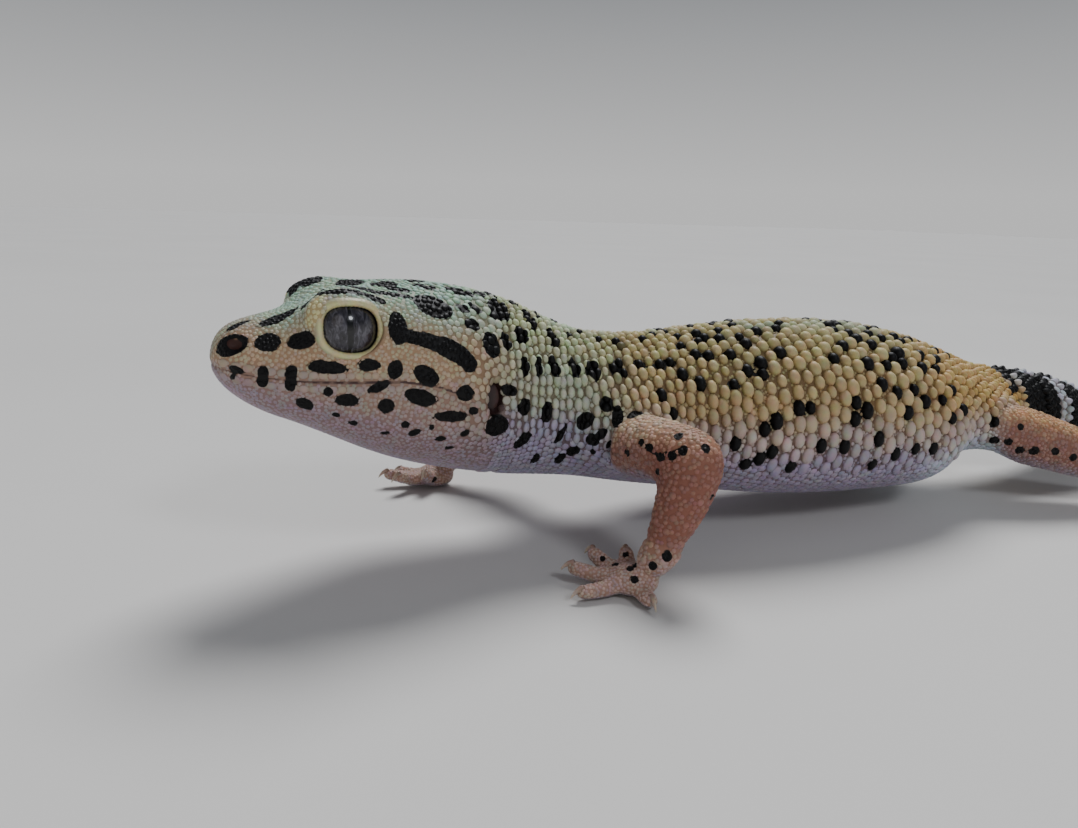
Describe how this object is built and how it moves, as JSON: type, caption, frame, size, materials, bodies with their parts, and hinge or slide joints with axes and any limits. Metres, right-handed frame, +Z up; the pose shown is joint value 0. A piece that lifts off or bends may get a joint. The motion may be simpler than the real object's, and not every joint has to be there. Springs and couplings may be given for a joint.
{
  "type": "leopard gecko model",
  "caption": "Still life-size lizard in a low walking stance, head raised, plump tail laid on the floor, beaded spotted skin, lidded slit-pupilled eyes.",
  "frame": {"origin": "middle of the footprint on the floor plane, under the trunk", "axes": "-X towards the snout and +X towards the tail tip, -Y the animal's left side, +Z up"},
  "size_m": [0.199, 0.0764, 0.0335],
  "materials": {
    "head_skin": "fine granular skin, cream with a mint tint, black blotches",
    "throat_skin": "smooth granular skin, cream to lavender pink, black spots",
    "neck_skin": "beaded skin, greenish cream with black spots",
    "trunk_skin": "beaded skin, ochre yellow above and lavender white below, black spots",
    "tail_skin": "ringed beaded skin, white and black",
    "leg_skin": "finely beaded skin, orange pink with small dark dots",
    "foot_skin": "fine smooth skin, pale pink",
    "claw": "horn, translucent brown, satin",
    "eye": "wet gloss, grey iris with a black upright slit",
    "eyelid": "smooth cream rim, satin",
    "eardrum": "thin reddish membrane, moist satin"
  },
  "bodies": {
    "root": {"head": "head_skin", "lower_jaw": "throat_skin", "neck": "neck_skin", "trunk_front": "trunk_skin", "trunk_middle": "trunk_skin", "trunk_rear": "trunk_skin", "tail_base": "tail_skin", "tail_middle": "tail_skin", "tail_end": "tail_skin", "eye_left": "eye", "eyelid_left": "eyelid", "ear_left": "eardrum", "eye_right": "eye", "eyelid_right": "eyelid", "ear_right": "eardrum", "fore_left_upper": "leg_skin", "fore_left_lower": "leg_skin", "fore_left_foot": "foot_skin", "fore_left_claw_1": "claw", "fore_left_claw_2": "claw", "fore_left_claw_3": "claw", "fore_left_claw_4": "claw", "fore_left_claw_5": "claw", "fore_right_upper": "leg_skin", "fore_right_lower": "leg_skin", "fore_right_foot": "foot_skin", "fore_right_claw_1": "claw", "fore_right_claw_2": "claw", "fore_right_claw_3": "claw", "fore_right_claw_4": "claw", "fore_right_claw_5": "claw", "hind_left_upper": "leg_skin", "hind_left_lower": "leg_skin", "hind_left_foot": "foot_skin", "hind_left_claw_1": "claw", "hind_left_claw_2": "claw", "hind_left_claw_3": "claw", "hind_left_claw_4": "claw", "hind_left_claw_5": "claw", "hind_right_upper": "leg_skin", "hind_right_lower": "leg_skin", "hind_right_foot": "foot_skin", "hind_right_claw_1": "claw", "hind_right_claw_2": "claw", "hind_right_claw_3": "claw", "hind_right_claw_4": "claw", "hind_right_claw_5": "claw"}
  },
  "joints": []
}
